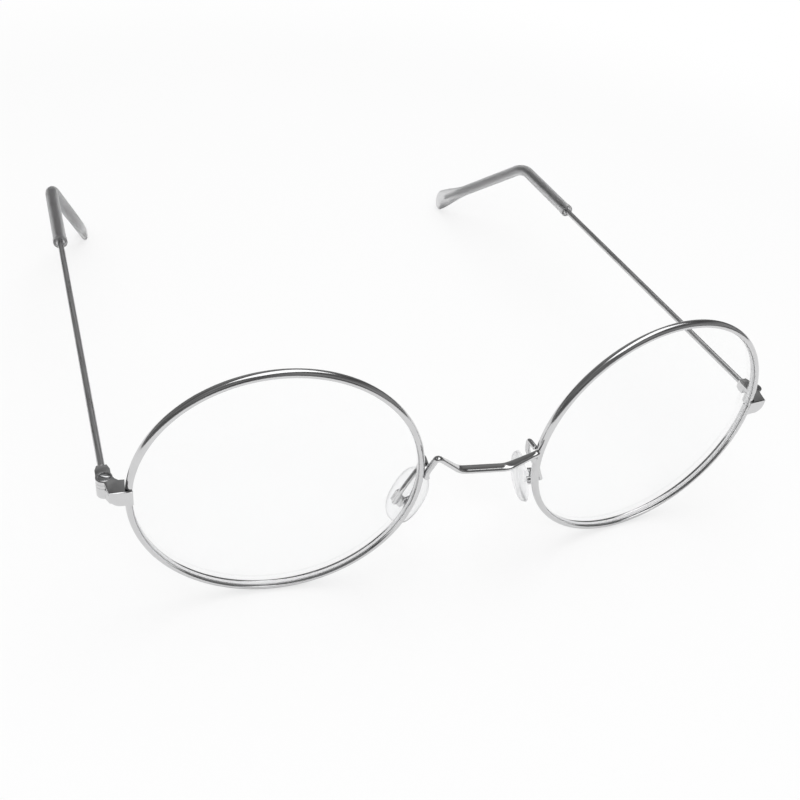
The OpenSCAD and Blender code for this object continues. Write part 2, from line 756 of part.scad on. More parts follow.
eyewire(right);  // right_eyewire
eyewire(left);  // left_eyewire
lens(right);  // right_lens
lens(left);  // left_lens
bridge();
endpiece(right);  // right_endpiece
endpiece(left);  // left_endpiece
closing_block(right);  // right_closing_block
closing_block(left);  // left_closing_block
closing_screw(right);  // right_closing_screw
closing_screw(left);  // left_closing_screw
hinge_screw(right);  // right_hinge_screw
hinge_screw(left);  // left_hinge_screw
temple_leaf(right);  // right_temple_leaf
temple_leaf(left);  // left_temple_leaf
temple_wire(right);  // right_temple_wire
temple_wire(left);  // left_temple_wire
temple_tip(right);  // right_temple_tip
temple_tip(left);  // left_temple_tip
pad_arm(right);  // right_pad_arm
pad_arm(left);  // left_pad_arm
pad_box(right);  // right_pad_box
pad_box(left);  // left_pad_box
pad_screw(right);  // right_pad_screw
pad_screw(left);  // left_pad_screw
nose_pad(right);  // right_nose_pad
nose_pad(left);  // left_nose_pad
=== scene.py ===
import json
import math

import bmesh
import bpy
from mathutils import Matrix, Vector


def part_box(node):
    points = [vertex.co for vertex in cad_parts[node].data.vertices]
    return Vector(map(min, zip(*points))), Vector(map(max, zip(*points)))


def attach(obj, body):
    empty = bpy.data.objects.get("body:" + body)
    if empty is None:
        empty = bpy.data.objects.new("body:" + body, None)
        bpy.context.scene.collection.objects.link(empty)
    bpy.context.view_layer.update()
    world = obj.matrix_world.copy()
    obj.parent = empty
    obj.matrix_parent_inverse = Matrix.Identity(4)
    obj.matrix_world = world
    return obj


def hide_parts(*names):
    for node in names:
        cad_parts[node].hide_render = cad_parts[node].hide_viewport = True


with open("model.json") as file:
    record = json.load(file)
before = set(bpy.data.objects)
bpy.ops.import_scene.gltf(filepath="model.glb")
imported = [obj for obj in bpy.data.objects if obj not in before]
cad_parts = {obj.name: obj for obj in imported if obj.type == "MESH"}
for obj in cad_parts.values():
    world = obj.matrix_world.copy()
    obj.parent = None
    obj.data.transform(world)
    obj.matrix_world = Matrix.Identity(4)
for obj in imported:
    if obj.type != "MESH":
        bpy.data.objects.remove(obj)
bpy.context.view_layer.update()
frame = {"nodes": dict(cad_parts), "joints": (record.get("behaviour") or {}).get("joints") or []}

# Round wire costume glasses. The front's own frame has its origin midway between the eyewire
# centres, X to the wearer's left, Y to the ears and Z up. Sizes are in millimetres there.
mm = 0.001
left, right = 1, -1
sideNames = {left: "left", right: "right"}
bodyNames = {left: "left_temple", right: "right_temple"}


def boxCentre(node):
    low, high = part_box(node)
    return (low + high) / 2


jointsByName = {joint["name"]: joint for joint in frame["joints"]}
frontUp = Vector(jointsByName["left_temple_fold"]["axis"]).normalized()
frontAcross = Vector((1, 0, 0))
frontBack = frontUp.cross(frontAcross)
eyewireCentres = {side: boxCentre(name + "_eyewire") for side, name in sideNames.items()}
frontOrigin = (eyewireCentres[left] + eyewireCentres[right]) / 2
frontTurn = Matrix((frontAcross, frontBack, frontUp)).transposed()
frontMatrix = Matrix.Translation(frontOrigin) @ frontTurn.to_4x4()
halfSpacing = (eyewireCentres[left] - eyewireCentres[right]).length / 2 / mm


def place(point):
    return frontMatrix @ (Vector(point) * mm)


def inFront(rowPoint):
    return (frontMatrix.inverted() @ Vector(rowPoint)) / mm


# Hinge axes at the height of their endpieces, both drawn on the left: the right one sits higher
hingeAt = {}
for side, name in sideNames.items():
    hingeAt[side] = inFront(jointsByName[name + "_temple_fold"]["pos_m"])
    hingeAt[side].x = abs(hingeAt[side].x)
padAt = inFront(jointsByName["left_pad_rock"]["pos_m"])
rises = {sideNames[side]: round(spot.z, 2) for side, spot in hingeAt.items()}
print("frame: half spacing", round(halfSpacing, 3), "hinge rise", rises)


# One socket in an expression: every operator on it adds a Math node
class Signal:
    def __init__(self, shop, socket):
        self.shop = shop
        self.socket = socket

    def maths(self, operation, first, second):
        return self.shop.node("ShaderNodeMath", {"operation": operation}, {0: first, 1: second})

    def __add__(self, other):
        return self.maths("ADD", self, other)

    __radd__ = __add__

    def __sub__(self, other):
        return self.maths("SUBTRACT", self, other)

    def __rsub__(self, other):
        return self.maths("SUBTRACT", other, self)

    def __mul__(self, other):
        return self.maths("MULTIPLY", self, other)

    __rmul__ = __mul__

    def __gt__(self, other):
        return self.maths("GREATER_THAN", self, other)

    def larger(self, other):
        return self.maths("MAXIMUM", self, other)


# A node tree and the one method that adds nodes to it
class Shop:
    def __init__(self, tree):
        self.tree = tree
        tree.nodes.clear()

    def node(self, kind, settings=None, inputs=None, output=0):
        made = self.tree.nodes.new(kind)
        for key, value in (settings or {}).items():
            if key == "stops":
                self.setStops(made.color_ramp, value)
            else:
                setattr(made, key, value)
        for key, value in (inputs or {}).items():
            if isinstance(value, Signal):
                self.tree.links.new(value.socket, made.inputs[key])
            else:
                made.inputs[key].default_value = value
        return Signal(self, made.outputs[output]) if made.outputs else made

    def setStops(self, ramp, stops):
        while len(ramp.elements) < len(stops):
            ramp.elements.new(0.5)
        for element, (position, grey) in zip(ramp.elements, stops):
            element.position = position
            element.color = (grey, grey, grey, 1)

    # Inputs 6 and 7 of a Mix node are its colours, and output 2 is the colour that it gives
    def mix(self, factor, first, second):
        return self.node("ShaderNodeMix", {"data_type": "RGBA"}, {0: factor, 6: first, 7: second}, 2)

    def tone(self, factor, look):
        return self.mix(factor, (*look["dark"], 1), (*look["light"], 1))

    def vector(self, operation, inputs, output=0):
        return self.node("ShaderNodeVectorMath", {"operation": operation}, inputs, output)

    def noise(self, position, scale, detail=3.0, roughness=0.5):
        inputs = {"Vector": position, "Scale": scale, "Detail": detail, "Roughness": roughness}
        return self.node("ShaderNodeTexNoise", {}, inputs)

    def bump(self, height, look):
        inputs = {"Strength": look["bump"], "Distance": look["bumpHeight"], "Height": height}
        return self.node("ShaderNodeBump", {}, inputs)


# A material, the shop for its nodes, and the place of each point on the object
def newMaterial(name):
    material = bpy.data.materials.new(name)
    material.use_nodes = True
    shop = Shop(material.node_tree)
    return material, shop, shop.node("ShaderNodeTexCoord", {}, {}, "Object")


def connectSurface(shop, shader):
    shop.node("ShaderNodeOutputMaterial", {}, {"Surface": shader})


# Finishes: scales are per metre, and bump heights are in metres

white = (1, 1, 1, 1)
polish = {
    "dark": (0.6, 0.6, 0.605),
    "light": (0.74, 0.74, 0.745),
    "roughness": 0.07,
    "smudge": 0.06,  # more roughness where it has been handled
    "markRoughness": 0.05,
    "markShare": 0.5,  # of the marks in the tone, the rest is smudges
    "bump": 0.05,
    "bumpHeight": 0.00001,
}
drawn = {
    "dark": (0.25, 0.25, 0.252),
    "light": (0.92, 0.92, 0.925),
    "roughness": 0.18,
    "smudge": 0.1,
    "markRoughness": 0.12,
    "markShare": 0.85,
    "bump": 0.12,
    "bumpHeight": 0.00001,
}
marking = {
    "across": 4600.0,  # drawing marks across and along the wire
    "along": 120.0,
    "wander": 6.0,  # how far the marks drift on their way round an eyewire
    "evenly": 5200.0,
    "smudgeScale": 190.0,
}


def bareMetal(name, look, marks):
    material, shop, position = newMaterial(name)
    lines = shop.noise(marks(shop, position), 1.0, 2.0)
    smudges = shop.noise(position, marking["smudgeScale"], 4.0, 0.6)
    share = look["markShare"]
    inputs = {
        "Base Color": shop.tone(smudges * (1 - share) + lines * share, look),
        "Metallic": 1.0,
        "Roughness": look["roughness"] + smudges * look["smudge"] + lines * look["markRoughness"],
        "Normal": shop.bump(lines, look),
    }
    connectSurface(shop, shop.node("ShaderNodeBsdfPrincipled", {}, inputs))
    return material


# Drawing marks along a straight wire that runs back from the front
def marksAlongWire(shop, position):
    scale = (marking["across"], marking["along"], marking["across"])
    return shop.vector("MULTIPLY", {0: position, 1: scale})


# Drawing marks round an eyewire: they depend on the radius and the depth, and hardly on the angle
def marksRoundEyewire(side):
    def marks(shop, position):
        axis = frontTurn @ turnZ((0, 1, 0), side * wrapAngle)
        fromCentre = shop.vector("SUBTRACT", {0: position, 1: eyewireCentres[side]})
        depth = shop.vector("DOT_PRODUCT", {0: fromCentre, 1: axis}, 1)
        offPlane = shop.vector("SCALE", {0: axis, "Scale": depth})
        inPlane = shop.vector("SUBTRACT", {0: fromCentre, 1: offPlane})
        radius = shop.vector("LENGTH", {0: inPlane}, 1)
        drift = shop.noise(position, marking["along"], 1.0) * marking["wander"]
        parts = {0: radius * marking["across"], 1: depth * marking["across"], 2: drift}
        return shop.node("ShaderNodeCombineXYZ", {}, parts)

    return marks


def marksEvenly(shop, position):
    return shop.vector("SCALE", {0: position, "Scale": marking["evenly"]})


steel = {
    "dark": (0.5, 0.5, 0.51),
    "light": (0.7, 0.7, 0.71),
    "roughness": 0.12,
    "grain": 0.16,
    "grainScale": 4200.0,
    "bump": 0.15,
    "bumpHeight": 0.00001,
}


def screwSteel(name):
    material, shop, position = newMaterial(name)
    grain = shop.noise(position, steel["grainScale"], 4.0, 0.6)
    inputs = {
        "Base Color": shop.tone(grain, steel),
        "Metallic": 1.0,
        "Roughness": steel["roughness"] + grain * steel["grain"],
        "Normal": shop.bump(grain, steel),
    }
    connectSurface(shop, shop.node("ShaderNodeBsdfPrincipled", {}, inputs))
    return material


tipPlastic = {
    "dark": (0.68, 0.68, 0.685),
    "light": (0.85, 0.85, 0.855),
    "roughness": 0.3,
    "cloud": 0.14,
    "cloudScale": 260.0,
    "skinScale": 2600.0,
    "bump": 0.12,
    "bumpHeight": 0.00002,
    "ior": 1.46,
}
padPlastic = {
    "dark": (0.92, 0.925, 0.93),
    "light": (0.985, 0.985, 0.99),
    "roughness": 0.3,
    "cloud": 0.18,
    "cloudScale": 420.0,
    "skinScale": 3200.0,
    "bump": 0.12,
    "bumpHeight": 0.00002,
    "ior": 1.22,  # low, so that the soft clear pads hardly show
}


# Clear plastic with faint clouds and a moulded skin
def clearPlastic(name, look):
    material, shop, position = newMaterial(name)
    clouds = shop.noise(position, look["cloudScale"], 3.0)
    skin = shop.noise(position, look["skinScale"], 2.0)
    inputs = {
        "Base Color": shop.tone(clouds, look),
        "Roughness": look["roughness"] + clouds * look["cloud"],
        "IOR": look["ior"],
        "Transmission Weight": 1.0,
        "Normal": shop.bump(skin, look),
    }
    connectSurface(shop, shop.node("ShaderNodeBsdfPrincipled", {}, inputs))
    return material


lensLook = {
    "tint": (0.997, 0.998, 0.998, 1),
    "ior": 1.49,
    "roughness": 0.02,
    "mirror": 0.07,
    "dust": 0.004,
    "dustScale": 900.0,
}
groundEdge = {
    "dark": (0.78, 0.78, 0.785),
    "light": (0.92, 0.92, 0.925),
    "roughness": 0.55,
    "grainScale": 5200.0,
    "bump": 0.2,
    "bumpHeight": 0.00001,
}


# A thin lens doesn't bend what is behind it, so it is clear with a mirror that grows at its edges
def lensGlass(name):
    material, shop, position = newMaterial(name)
    dust = shop.noise(position, lensLook["dustScale"], 5.0, 0.7)
    mirror = shop.node("ShaderNodeFresnel", {}, {"IOR": lensLook["ior"]})
    clear = shop.node("ShaderNodeBsdfTransparent", {}, {"Color": lensLook["tint"]})
    glossInputs = {"Color": white, "Roughness": lensLook["roughness"]}
    gloss = shop.node("ShaderNodeBsdfAnisotropic", {}, glossInputs)
    factor = mirror * lensLook["mirror"] + dust * lensLook["dust"]
    connectSurface(shop, shop.node("ShaderNodeMixShader", {}, {0: factor, 1: clear, 2: gloss}))
    return material


# The bevel of a lens keeps the grain of the wheel that ground it
def groundGlass(name):
    material, shop, position = newMaterial(name)
    grain = shop.noise(position, groundEdge["grainScale"], 4.0, 0.6)
    inputs = {
        "Base Color": shop.tone(grain, groundEdge),
        "Roughness": groundEdge["roughness"],
        "Normal": shop.bump(grain, groundEdge),
    }
    connectSurface(shop, shop.node("ShaderNodeBsdfPrincipled", {}, inputs))
    return material


# Meshes

samePoint = 1e-8  # metres between two points that are one
cutShare = 0.45  # the most of a straight run that a rounded corner takes


def turnZ(vector, degrees):
    return Matrix.Rotation(math.radians(degrees), 3, "Z") @ Vector(vector)


def turnY(vector, degrees):
    return Matrix.Rotation(math.radians(degrees), 3, "Y") @ Vector(vector)


def turnX(vector, degrees):
    return Matrix.Rotation(math.radians(degrees), 3, "X") @ Vector(vector)


def mirrored(point, side):
    return Vector((side * point[0], point[1], point[2]))


def addObject(name, data):
    added = bpy.data.objects.new(name, data)
    bpy.context.scene.collection.objects.link(added)
    return added


def addMesh(name, mesh):
    data = bpy.data.meshes.new(name)
    mesh.to_mesh(data)
    mesh.free()
    return addObject(name, data)


# An object from a bmesh, shaded smooth except over edges sharper than the given angle
def finishPiece(mesh, name, material, body, sharpAngle=40):
    bmesh.ops.remove_doubles(mesh, verts=mesh.verts, dist=samePoint)
    bmesh.ops.recalc_face_normals(mesh, faces=mesh.faces)
    for face in mesh.faces:
        face.smooth = True
    for edge in mesh.edges:
        if len(edge.link_faces) == 2 and edge.calc_face_angle() > math.radians(sharpAngle):
            edge.smooth = False
    piece = addMesh(name, mesh)
    piece.data.materials.append(material)
    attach(piece, body)
    return piece


# Skins a list of rings of points, given in millimetres in the front's frame
def skinRings(mesh, rings, capStart=True, capEnd=True):
    rows = [[mesh.verts.new(place(point)) for point in ring] for ring in rings]
    count = len(rows[0])
    for lower, upper in zip(rows, rows[1:]):
        for i in range(count):
            j = (i + 1) % count
            mesh.faces.new((lower[i], lower[j], upper[j], upper[i]))
    if capStart:
        mesh.faces.new(rows[0])
    if capEnd:
        mesh.faces.new(list(reversed(rows[-1])))
    return rows


def arc(centreX, centreY, radius, startAngle, endAngle, steps):
    angles = [math.radians(startAngle + (endAngle - startAngle) * k / steps) for k in range(steps + 1)]
    return [(centreX + radius * math.cos(a), centreY + radius * math.sin(a)) for a in angles]


def circle(radius, count):
    return arc(0, 0, radius, 0, 360 - 360 / count, count - 1)


def eased(t):
    x = min(max(t, 0), 1)
    return x * x * (3 - 2 * x)


def bent(x, power):
    return math.copysign(abs(x) ** power, x)


# One cross-section of a bar: flatter than an ellipse where the power is under 1
def sectionRing(centre, along, wide, halfWide, halfThick, power, sides):
    along = Vector(along).normalized()
    wide = (Vector(wide) - along * along.dot(Vector(wide))).normalized()
    thick = along.cross(wide)
    ring = []
    for i in range(sides):
        a = 2 * math.pi * i / sides
        across = wide * halfWide * bent(math.cos(a), power)
        through = thick * halfThick * bent(math.sin(a), power)
        ring.append(Vector(centre) + across + through)
    return ring


def heading(path, i):
    return (path[min(i + 1, len(path) - 1)] - path[max(i - 1, 0)]).normalized()


# A polyline with rounded corners, cut at most reach before each corner
def roundedPath(points, reach, steps):
    path = [points[0]]
    for before, corner, after in zip(points, points[1:], points[2:]):
        into = corner + (before - corner).normalized() * min(reach, (before - corner).length * cutShare)
        out = corner + (after - corner).normalized() * min(reach, (after - corner).length * cutShare)
        for k in range(steps + 1):
            t = k / steps
            path.append(into * (1 - t) ** 2 + corner * 2 * t * (1 - t) + out * t * t)
    return path + [points[-1]]


# Eyewires: a drawn channel bent to a ring, cut at its outer side

wrapAngle = 5.8
eyewire = {
    "diameter": 52.0,
    "width": 1.8,
    "thickness": 1.15,
    "flankHeight": 0.3,  # of the flat flanks, inside the crowned outer side
    "lipRadius": 0.1,
    "grooveWidth": 0.8,
    "grooveDepth": 0.45,
    "floorRadius": 0.14,
    "floorAngle": 60,
    "gap": 0.3,
    "crownSteps": 24,
    "lipSteps": 4,
    "grooveSteps": 3,
    "floorSteps": 4,
    "steps": 360,
}
ringRadius = eyewire["diameter"] / 2
ringOut = ringRadius + eyewire["thickness"] / 2
ringIn = ringRadius - eyewire["thickness"] / 2
flank = eyewire["width"] / 2


# A point of an eyewire's own plane: u outwards, v backwards, z up
def ringPoint(side, u, v, z):
    return mirrored(turnZ((u, v, z), wrapAngle) + Vector((halfSpacing, 0, 0)), side)


# Radius and depth of each point of the channel's section
def eyewireProfile():
    lip = eyewire["lipRadius"]
    half = eyewire["grooveWidth"] / 2
    floor = ringIn + eyewire["grooveDepth"]
    crownFoot = ringIn + eyewire["flankHeight"]
    crownHeight = eyewire["thickness"] - eyewire["flankHeight"]
    angles = [math.pi * k / eyewire["crownSteps"] for k in range(eyewire["crownSteps"] + 1)]
    outside = [(crownFoot + crownHeight * math.sin(a), -flank * math.cos(a)) for a in angles]
    backLip = arc(ringIn + lip, flank - lip, lip, 90, 180, eyewire["lipSteps"])
    grooveBack = arc(ringIn + lip, half + lip, lip, 180, 270, eyewire["grooveSteps"])
    hollow, turn = eyewire["floorRadius"], eyewire["floorAngle"]
    grooveFloor = arc(floor - hollow, 0, hollow, turn, -turn, eyewire["floorSteps"])
    behind = backLip + grooveBack
    ahead = [(r, -v) for r, v in reversed(behind)]
    return outside + behind + grooveFloor + ahead


def makeEyewire(side):
    profile = eyewireProfile()
    gapAngle = eyewire["gap"] / 2 / ringRadius
    cutAt = math.asin(hingeAt[side].z / ringRadius)
    rings = []
    for k in range(eyewire["steps"] + 1):
        a = cutAt + gapAngle + (2 * math.pi - 2 * gapAngle) * k / eyewire["steps"]
        rings.append([ringPoint(side, r * math.cos(a), v, r * math.sin(a)) for r, v in profile])
    mesh = bmesh.new()
    skinRings(mesh, rings)
    name = sideNames[side] + "_eyewire"
    material = bareMetal(name + "_polish", polish, marksRoundEyewire(side))
    piece = finishPiece(mesh, name + "_ring", material, "front")
    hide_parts(name)


for side in (left, right):
    makeEyewire(side)
print("eyewires made")


# Lenses: flat discs with a ground bevel that sits in the groove

lens = {
    "thickness": 1.3,
    "play": 0.04,
    "edgeShare": 6,  # the groove is this many times as wide as half of the bevel's edge
    "sharpAngle": 20,
    "steps": 180,
}


def makeLens(side, material, bevelMaterial):
    faceRadius = ringIn - 2 * lens["play"]
    edgeRadius = ringIn + eyewire["grooveDepth"] - lens["play"]
    half = lens["thickness"] / 2
    bevel = eyewire["grooveWidth"] / 2 - lens["play"]
    edge = eyewire["grooveWidth"] / lens["edgeShare"]
    ahead = [(faceRadius, -half), (faceRadius, -bevel), (edgeRadius, -edge)]
    behind = [(r, -v) for r, v in reversed(ahead)]
    angles = [2 * math.pi * k / lens["steps"] for k in range(lens["steps"])]
    rings = []
    for r, v in ahead + behind:
        rings.append([ringPoint(side, r * math.cos(a), v, r * math.sin(a)) for a in angles])
    mesh = bmesh.new()
    skinRings(mesh, rings)
    mesh.faces.ensure_lookup_table()
    for face in mesh.faces[lens["steps"] : 4 * lens["steps"]]:
        face.material_index = 1
    name = sideNames[side] + "_lens"
    piece = finishPiece(mesh, name + "_disc", material, "front", lens["sharpAngle"])
    piece.data.materials.append(bevelMaterial)
    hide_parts(name)


lensMaterial = lensGlass("lens_clear")
bevelMaterial = groundGlass("lens_ground_edge")
for side in (left, right):
    makeLens(side, lensMaterial, bevelMaterial)
print("lenses made")


# Bridge: one bent strip with a flat bar, two shoulders and two brazed feet

wireMetal = bareMetal("drawn_wire", drawn, marksAlongWire)
fittingMetal = bareMetal("fitting_polish", polish, marksEvenly)

bridge = {
    "barLength": 10.0,
    "barWidth": 2.0,
    "thickness": 0.9,
    "footWidth": 1.3,
    "footLength": 1.2,
    "barHeight": 1.0,
    "shoulderRise": 4.2,
    "tilt": 7.5,  # it runs down from right to left
    "forward": 1.5,
    "shoulderIn": 0.9,
    "shoulderForward": 0.9,
    "corner": 1.4,
    "cornerSteps": 12,
    "braze": 0.08,
    "brazeSpread": 0.28,  # how much wider a foot is where it is brazed
    "sides": 28,
    "power": 0.72,
}


def bridgePath():
    foot = ringPoint(left, -ringOut, 0, 0)
    footX = foot.x - bridge["thickness"] / 2 + bridge["braze"]
    footAt = Vector((footX, foot.y - bridge["footWidth"] / 4, 0))
    barAt = Vector((bridge["barLength"] / 2, foot.y - bridge["forward"], bridge["barHeight"]))
    shoulderZ = bridge["barHeight"] + bridge["shoulderRise"]
    shoulderAt = Vector((foot.x - bridge["shoulderIn"], barAt.y - bridge["shoulderForward"], shoulderZ))
    fall = math.tan(math.radians(bridge["tilt"]))
    feet = [footAt + Vector((0, 0, bridge["footLength"])), footAt]
    leftHalf = [point - Vector((0, 0, fall * point.x)) for point in (barAt, shoulderAt)] + feet
    rightHalf = [point + Vector((0, 0, fall * point.x)) for point in (barAt, shoulderAt)] + feet
    whole = [mirrored(point, right) for point in reversed(rightHalf)] + leftHalf
    return roundedPath(whole, bridge["corner"], bridge["cornerSteps"]), barAt.x, shoulderAt.x


def makeBridge():
    path, barX, shoulderX = bridgePath()
    backward = (0, 1, 0)
    rings = []
    for i, point in enumerate(path):
        share = eased((shoulderX - abs(point.x)) / (shoulderX - barX))
        width = bridge["footWidth"] + (bridge["barWidth"] - bridge["footWidth"]) * share
        spread = 1 + bridge["brazeSpread"] * (i in (0, len(path) - 1))
        half = (width * spread / 2, bridge["thickness"] * spread / 2)
        along = heading(path, i)
        rings.append(sectionRing(point, along, backward, *half, bridge["power"], bridge["sides"]))
    mesh = bmesh.new()
    skinRings(mesh, rings)
    piece = finishPiece(mesh, "bridge_strip", fittingMetal, "front")
    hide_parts("bridge")


makeBridge()
print("bridge made")


# Temples: a wire with an ear bend, its core inside a clear tip

temple = {
    "length": 105.0,
    "tipLength": 41.0,
    "wireDiameter": 1.3,
    "bend": {right: 47.0, left: 42.0},
    "bendRadius": 9.0,
    "lean": {right: 16.5, left: 20.0},
    "drop": {right: 0.4, left: 0.8},
    "splay": {right: 0.3, left: 3.4},
    "wireHeight": -0.09,  # of the wire's centre at the hinge leaf
    "wireStart": 2.4,
    "leafEnd": 3.9,
    "solderLap": 0.08,
    "solderRise": 0.16,
    "solderLength": 0.35,
    "pastSolder": 0.96,  # share of the straight run that is free of solder
    "endTurn": 88,  # of the round that closes the wire's end
    "solderSteps": 8,
    "straightSteps": 12,
    "bendSteps": 24,
    "endSteps": 6,
    "sides": 32,
}
tip = {
    "lead": 25.0,
    "diameter": 2.9,
    "paddleWidth": 5.94,
    "paddleThickness": 2.38,
    "paddleLength": 13.0,
    "setback": 4.5,
    "collarLength": 1.2,
    "collarRise": 0.12,
    "collarEdge": [(0.0, 0.55), (0.05, 0.85), (0.14, 1.0)],  # distance and share of the rise
    "capLength": 1.78,
    "play": 0.03,
    "mouthFlare": 0.3,
    "mouthDepth": 0.7,
    "mouthPower": 1.6,
    "boreEnd": (0, 0.5, 1.0, 1.3, 1.5),  # radians of the round that closes the bore
    "collarSteps": 4,
    "mouthSteps": 5,
    "straightSteps": 14,
    "bendSteps": 24,
    "paddleSteps": 30,
    "capSteps": 12,
    "sides": 40,
}
wireRadius = temple["wireDiameter"] / 2


# Lengths along a temple, from the start of its ear bend
def markOut(side):
    bend = math.radians(temple["bend"][side])
    lead = temple["bendRadius"] * math.tan(bend / 2)
    length = temple["bendRadius"] * bend
    end = length + temple["tipLength"] - lead
    return {
        "bend": length,
        "wireStart": lead + temple["wireStart"] - temple["length"],
        "tipStart": lead - tip["lead"],
        "tipStop": end - tip["capLength"],
        "coreStop": end - tip["setback"],
    }


lengths = {side: markOut(side) for side in (left, right)}


# The temple's centre line: s is the length along it from the start of the ear bend
def bendPoint(side, s):
    radius = temple["bendRadius"]
    length = lengths[side]["bend"]
    angle = min(max(s / length, 0), 1) * math.radians(temple["bend"][side])
    straight = min(s, 0) + max(s - length, 0)
    run = radius * math.sin(angle) + straight * math.cos(angle) - lengths[side]["wireStart"]
    fall = radius * (math.cos(angle) - 1) - straight * math.sin(angle)
    return Vector((0, run, fall)), angle


def templePoint(point, side):
    leaned = turnX(turnY(point, temple["lean"][side]), -temple["drop"][side])
    seated = leaned + Vector((0, temple["wireStart"], temple["wireHeight"]))
    return mirrored(turnZ(seated, temple["splay"][side]) + hingeAt[side], side)


def templeRing(side, s, halfWide, halfThick, sides):
    point, angle = bendPoint(side, s)
    along = (0, math.cos(angle), -math.sin(angle))
    wide = (0, math.sin(angle), math.cos(angle))
    ring = sectionRing(point, along, wide, halfWide, halfThick, 1.0, sides)
    return [templePoint(p, side) for p in ring]


def makeTempleWire(side):
    start, bendLength, coreStop = (lengths[side][key] for key in ("wireStart", "bend", "coreStop"))
    solder = temple["leafEnd"] - temple["wireStart"] + start
    stations = [(start, wireRadius)]
    for k in range(temple["solderSteps"] + 1):
        t = k / temple["solderSteps"]
        bead = temple["solderRise"] * math.sin(math.pi * t)
        stations.append((solder - temple["solderLap"] + temple["solderLength"] * t, wireRadius + bead))
    for k in range(1, temple["straightSteps"]):
        stations.append((start * (1 - k / temple["straightSteps"]) * temple["pastSolder"], wireRadius))
    for k in range(temple["bendSteps"] + 1):
        stations.append((bendLength * k / temple["bendSteps"], wireRadius))
    for k in range(temple["endSteps"] + 1):
        a = math.radians(temple["endTurn"] * k / temple["endSteps"])
        stations.append((coreStop - wireRadius * (1 - math.sin(a)), wireRadius * math.cos(a)))
    mesh = bmesh.new()
    skinRings(mesh, [templeRing(side, s, r, r, temple["sides"]) for s, r in stations])
    name = sideNames[side] + "_temple_wire"
    piece = finishPiece(mesh, name + "_drawn", wireMetal, bodyNames[side])
    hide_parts(name)


# Half width and half thickness of the plastic at s
def tipHalves(side, s):
    share = eased(1 - (lengths[side]["tipStop"] - s) / tip["paddleLength"])
    slim = tip["diameter"] / 2
    return (
        slim + (tip["paddleWidth"] / 2 - slim) * share,
        slim + (tip["paddleThickness"] / 2 - slim) * share,
    )


# Length along the temple, half width and half thickness of each ring, from the collar to the cap
def tipOutside(side):
    bendLength, tipStart, tipStop = (lengths[side][key] for key in ("bend", "tipStart", "tipStop"))
    slim, rise = tip["diameter"] / 2, tip["collarRise"]
    collar, steps = tip["collarLength"], tip["collarSteps"]
    fall = rise * 2
    collarRings = [(distance, slim + rise * share) for distance, share in tip["collarEdge"]]
    collarRings += [(collar * k / steps, slim + rise) for k in range(1, steps)]
    for k in range(steps + 1):
        collarRings.append((collar + fall * k / steps, slim + rise * (1 - eased(k / steps))))
    stations = [(tipStart + distance, radius, radius) for distance, radius in collarRings]
    first = tipStart + collar + fall
    for k in range(1, tip["straightSteps"]):
        stations.append((first * (1 - k / tip["straightSteps"]), slim, slim))
    bend = [bendLength * k / tip["bendSteps"] for k in range(tip["bendSteps"] + 1)]
    paddleSteps = range(1, tip["paddleSteps"] + 1)
    paddle = [bendLength + (tipStop - bendLength) * k / tip["paddleSteps"] for k in paddleSteps]
    stations += [(s, *tipHalves(side, s)) for s in bend + paddle]
    for k in range(1, tip["capSteps"]):
        a = math.radians(90 * k / tip["capSteps"])
        halves = [half * math.cos(a) for half in tipHalves(side, tipStop)]
        stations.append((tipStop + tip["capLength"] * math.sin(a), *halves))
    return stations


# Length along the temple and radius of each ring of the bore, from its flared mouth to its end
def tipInside(side):
    bendLength, tipStart, coreStop = (lengths[side][key] for key in ("bend", "tipStart", "coreStop"))
    bore, depth, steps = wireRadius + tip["play"], tip["mouthDepth"], tip["mouthSteps"]
    stations = []
    for k in range(steps + 1):
        flare = tip["mouthFlare"] * (1 - k / steps) ** tip["mouthPower"]
        stations.append((tipStart + depth * k / steps, bore + flare))
    for k in range(1, tip["straightSteps"] + 1):
        stations.append(((tipStart + depth) * (1 - k / tip["straightSteps"]), bore))
    for k in range(1, tip["bendSteps"] + 1):
        stations.append((bendLength * k / tip["bendSteps"], bore))
    for a in tip["boreEnd"]:
        stations.append((coreStop - bore * (1 - math.sin(a)), bore * math.cos(a)))
    return stations


def makeTempleTip(side, material):
    sides = tip["sides"]
    outside = [templeRing(side, s, wide, thick, sides) for s, wide, thick in tipOutside(side)]
    inside = [templeRing(side, s, radius, radius, sides) for s, radius in tipInside(side)]
    mesh = bmesh.new()
    outer = skinRings(mesh, outside, capStart=False)
    inner = skinRings(mesh, inside, capStart=False)
    for i in range(sides):
        j = (i + 1) % sides
        mesh.faces.new((outer[0][i], inner[0][i], inner[0][j], outer[0][j]))
    name = sideNames[side] + "_temple_tip"
    piece = finishPiece(mesh, name + "_moulded", material, bodyNames[side])
    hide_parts(name)


tipMaterial = clearPlastic("tip_plastic", tipPlastic)
for side in (left, right):
    makeTempleWire(side)
    makeTempleTip(side, tipMaterial)
print("temples made")


# Pad arms: a bent wire from the back of each eyewire to its pad box

